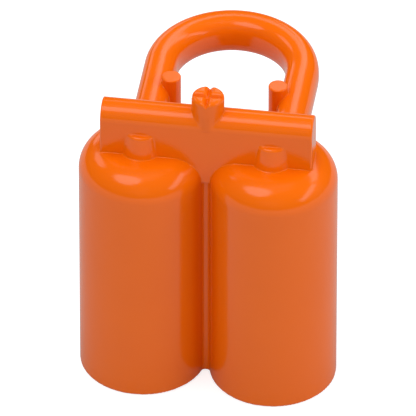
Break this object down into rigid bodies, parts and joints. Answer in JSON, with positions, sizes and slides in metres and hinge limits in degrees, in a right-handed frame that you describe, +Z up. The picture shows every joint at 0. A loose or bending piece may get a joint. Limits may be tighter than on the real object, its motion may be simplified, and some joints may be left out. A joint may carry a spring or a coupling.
{
  "type": "toy figure air tanks",
  "caption": "Twin upright air tanks joined by a web and a manifold plate, with a loop that slips over a toy figure's neck post to carry them as a backpack.",
  "frame": {"origin": "on the base plane, midway between the two tank axes, at the foot of the web that joins them", "axes": "+Z up along the tanks, -Y towards the tanks' fronts, +Y towards the neck loop, X across both tanks"},
  "size_m": [0.0128, 0.0156, 0.0168],
  "materials": {
    "orange_abs": "glossy injection-moulded ABS"
  },
  "bodies": {
    "root": {"left_tank": "orange_abs", "left_manifold_bar": "orange_abs", "left_valve_stub": "orange_abs", "left_loop_leg": "orange_abs", "left_grip_rib": "orange_abs", "right_tank": "orange_abs", "right_manifold_bar": "orange_abs", "right_valve_stub": "orange_abs", "right_loop_leg": "orange_abs", "right_grip_rib": "orange_abs", "centre_web": "orange_abs", "manifold_plate": "orange_abs", "valve_handwheel": "orange_abs", "neck_loop": "orange_abs"}
  },
  "joints": []
}
